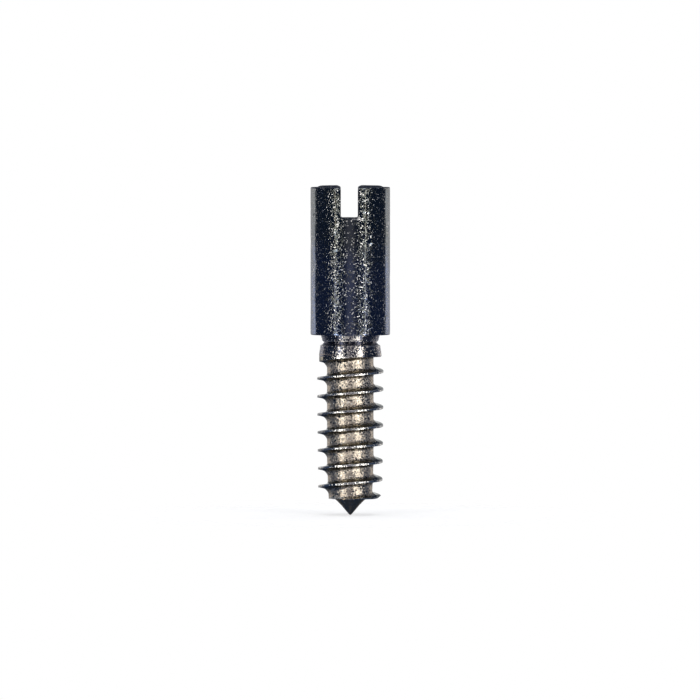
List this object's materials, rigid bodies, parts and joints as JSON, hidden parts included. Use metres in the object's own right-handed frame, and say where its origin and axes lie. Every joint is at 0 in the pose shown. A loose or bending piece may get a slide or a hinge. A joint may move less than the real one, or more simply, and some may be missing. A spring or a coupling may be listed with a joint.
{
  "type": "side dial screw",
  "caption": "Slotted barrel-head screw of a watch movement, with a necked shoulder, a run-out collar, a fine right-hand thread and a short cone point.",
  "frame": {"origin": "on the screw's axis, in the plane of the head's underside, where the head seats in its counterbore", "axes": "+Z along the screw's axis towards the slotted top of the head, -Z towards the cone point; the driver slot runs along Y"},
  "size_m": [0.0008, 0.0008, 0.0033],
  "materials": {
    "head_steel": "hardened carbon steel, polished dark blue-black, lightly scuffed",
    "neck_steel": "hardened carbon steel, fine turned rings",
    "thread_steel": "cut thread in carbon steel, warm grey, granular",
    "point_steel": "hardened carbon steel, dark turned cone"
  },
  "bodies": {
    "root": {"slotted_head": "head_steel", "neck": "neck_steel", "thread_collar": "neck_steel", "shank_core": "thread_steel", "screw_thread": "thread_steel", "cone_point": "point_steel"}
  },
  "joints": []
}
